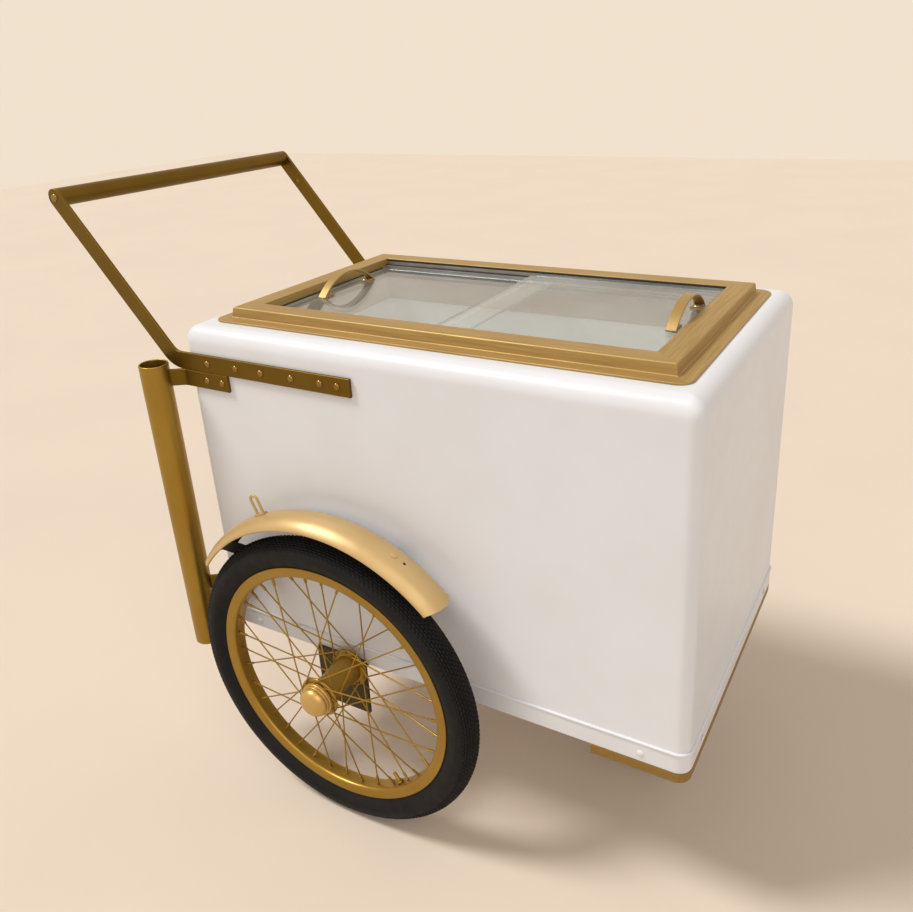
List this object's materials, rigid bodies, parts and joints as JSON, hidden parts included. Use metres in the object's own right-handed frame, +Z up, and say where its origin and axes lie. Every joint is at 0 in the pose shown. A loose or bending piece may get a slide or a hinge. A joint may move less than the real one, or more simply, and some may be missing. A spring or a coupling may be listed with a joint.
{
  "type": "ice cream push cart",
  "caption": "Insulated ice cream push cart with sliding glass panes in a raised frame, a bent push handle, an umbrella tube, spoked wheels under fenders and a swivelling front caster.",
  "frame": {"origin": "on the ground, in the middle of the cart's overall length and width", "axes": "+X forward, away from the push handle; +Y to the far side, away from the umbrella tube; +Z up"},
  "size_m": [1.028, 0.757, 0.9755],
  "materials": {
    "white_body": "glossy off-white gel coat",
    "white_strip": "glossy white enamel on folded sheet",
    "foam": "rigid closed-cell foam",
    "liner_white": "smooth white food-safe sheet",
    "collar_beige": "warm grey-beige moulded strip",
    "gold_paint": "satin gold paint over steel",
    "dark_gold": "dark olive-gold paint over steel",
    "gold_board": "plywood under satin gold paint",
    "track_aluminium": "mill-finish extrusion",
    "black_glide": "black low-friction strip",
    "black_seal": "black soft seal",
    "pane_glass": "clear float glass, polished edges",
    "zinc": "zinc-plated steel",
    "gold_bolt": "bolt heads painted over in gold",
    "black_paint": "satin black paint",
    "plug_grey": "moulded plug",
    "tyre_black": "ribbed black rubber",
    "caster_rubber": "solid dark rubber",
    "caster_core": "cast core"
  },
  "bodies": {
    "cart": {"body_shell": "white_body", "base_pan": "white_strip", "base_rivets": "white_strip", "insulation": "foam", "inner_liner": "liner_white", "throat_collar": "collar_beige", "caster_board": "gold_board", "board_screws": "zinc", "top_frame": "gold_paint", "pane_tracks": "track_aluminium", "glide_strips": "black_glide", "end_seals": "black_seal", "near_push_bar": "gold_paint", "far_push_bar": "gold_paint", "push_bar_bolts": "gold_bolt", "grip_tube": "gold_paint", "grip_plugs": "plug_grey", "grip_bolts": "gold_bolt", "umbrella_tube": "gold_paint", "tube_end_disc": "gold_paint", "upper_tube_bracket": "gold_paint", "lower_tube_bracket": "gold_paint", "tube_bracket_bolts": "gold_bolt", "near_axle_bracket": "dark_gold", "far_axle_bracket": "dark_gold", "axle_bracket_bolts": "zinc", "near_stub_axle": "zinc", "far_stub_axle": "zinc", "axle_nuts": "zinc", "near_fender": "gold_paint", "far_fender": "gold_paint", "fender_loops": "gold_paint", "fender_stays": "black_paint", "fender_stay_bolts": "black_paint", "fender_rivets": "gold_paint", "caster_top_plate": "zinc", "caster_kingpin": "zinc"},
    "near_wheel": {"near_tyre": "tyre_black", "near_rim": "gold_paint", "near_spokes": "gold_paint", "near_hub": "gold_paint", "near_bearings": "zinc", "near_dust_cap": "gold_paint"},
    "far_wheel": {"far_tyre": "tyre_black", "far_rim": "gold_paint", "far_spokes": "gold_paint", "far_hub": "gold_paint", "far_bearings": "zinc", "far_dust_cap": "gold_paint"},
    "caster_swivel": {"caster_fork": "zinc", "caster_axle_bolt": "zinc"},
    "caster_roller": {"caster_wheel": "caster_core", "caster_tyre": "caster_rubber"},
    "left_pane": {"left_glass": "pane_glass", "left_pane_handle": "gold_paint", "left_handle_screws": "zinc"},
    "right_pane": {"right_glass": "pane_glass", "right_pane_handle": "gold_paint", "right_handle_screws": "zinc"}
  },
  "joints": [
    {"name": "near_wheel_spin", "type": "hinge", "parent": "cart", "child": "near_wheel", "pos_m": [-0.0265, -0.3135, 0.255], "axis": [0, 1, 0], "continuous": true},
    {"name": "far_wheel_spin", "type": "hinge", "parent": "cart", "child": "far_wheel", "pos_m": [-0.0265, 0.3135, 0.255], "axis": [0, 1, 0], "continuous": true},
    {"name": "caster_swivel_turn", "type": "hinge", "parent": "cart", "child": "caster_swivel", "pos_m": [0.4295, 0, 0.239], "axis": [0, 0, 1], "continuous": true},
    {"name": "caster_wheel_spin", "type": "hinge", "parent": "caster_swivel", "child": "caster_roller", "pos_m": [0.3695, 0, 0.1], "axis": [0, 1, 0], "continuous": true},
    {"name": "left_pane_slide", "type": "slide", "parent": "cart", "child": "left_pane", "axis": [1, 0, 0], "range_m": [0, 0.25]},
    {"name": "right_pane_slide", "type": "slide", "parent": "cart", "child": "right_pane", "axis": [1, 0, 0], "range_m": [-0.25, 0]}
  ]
}
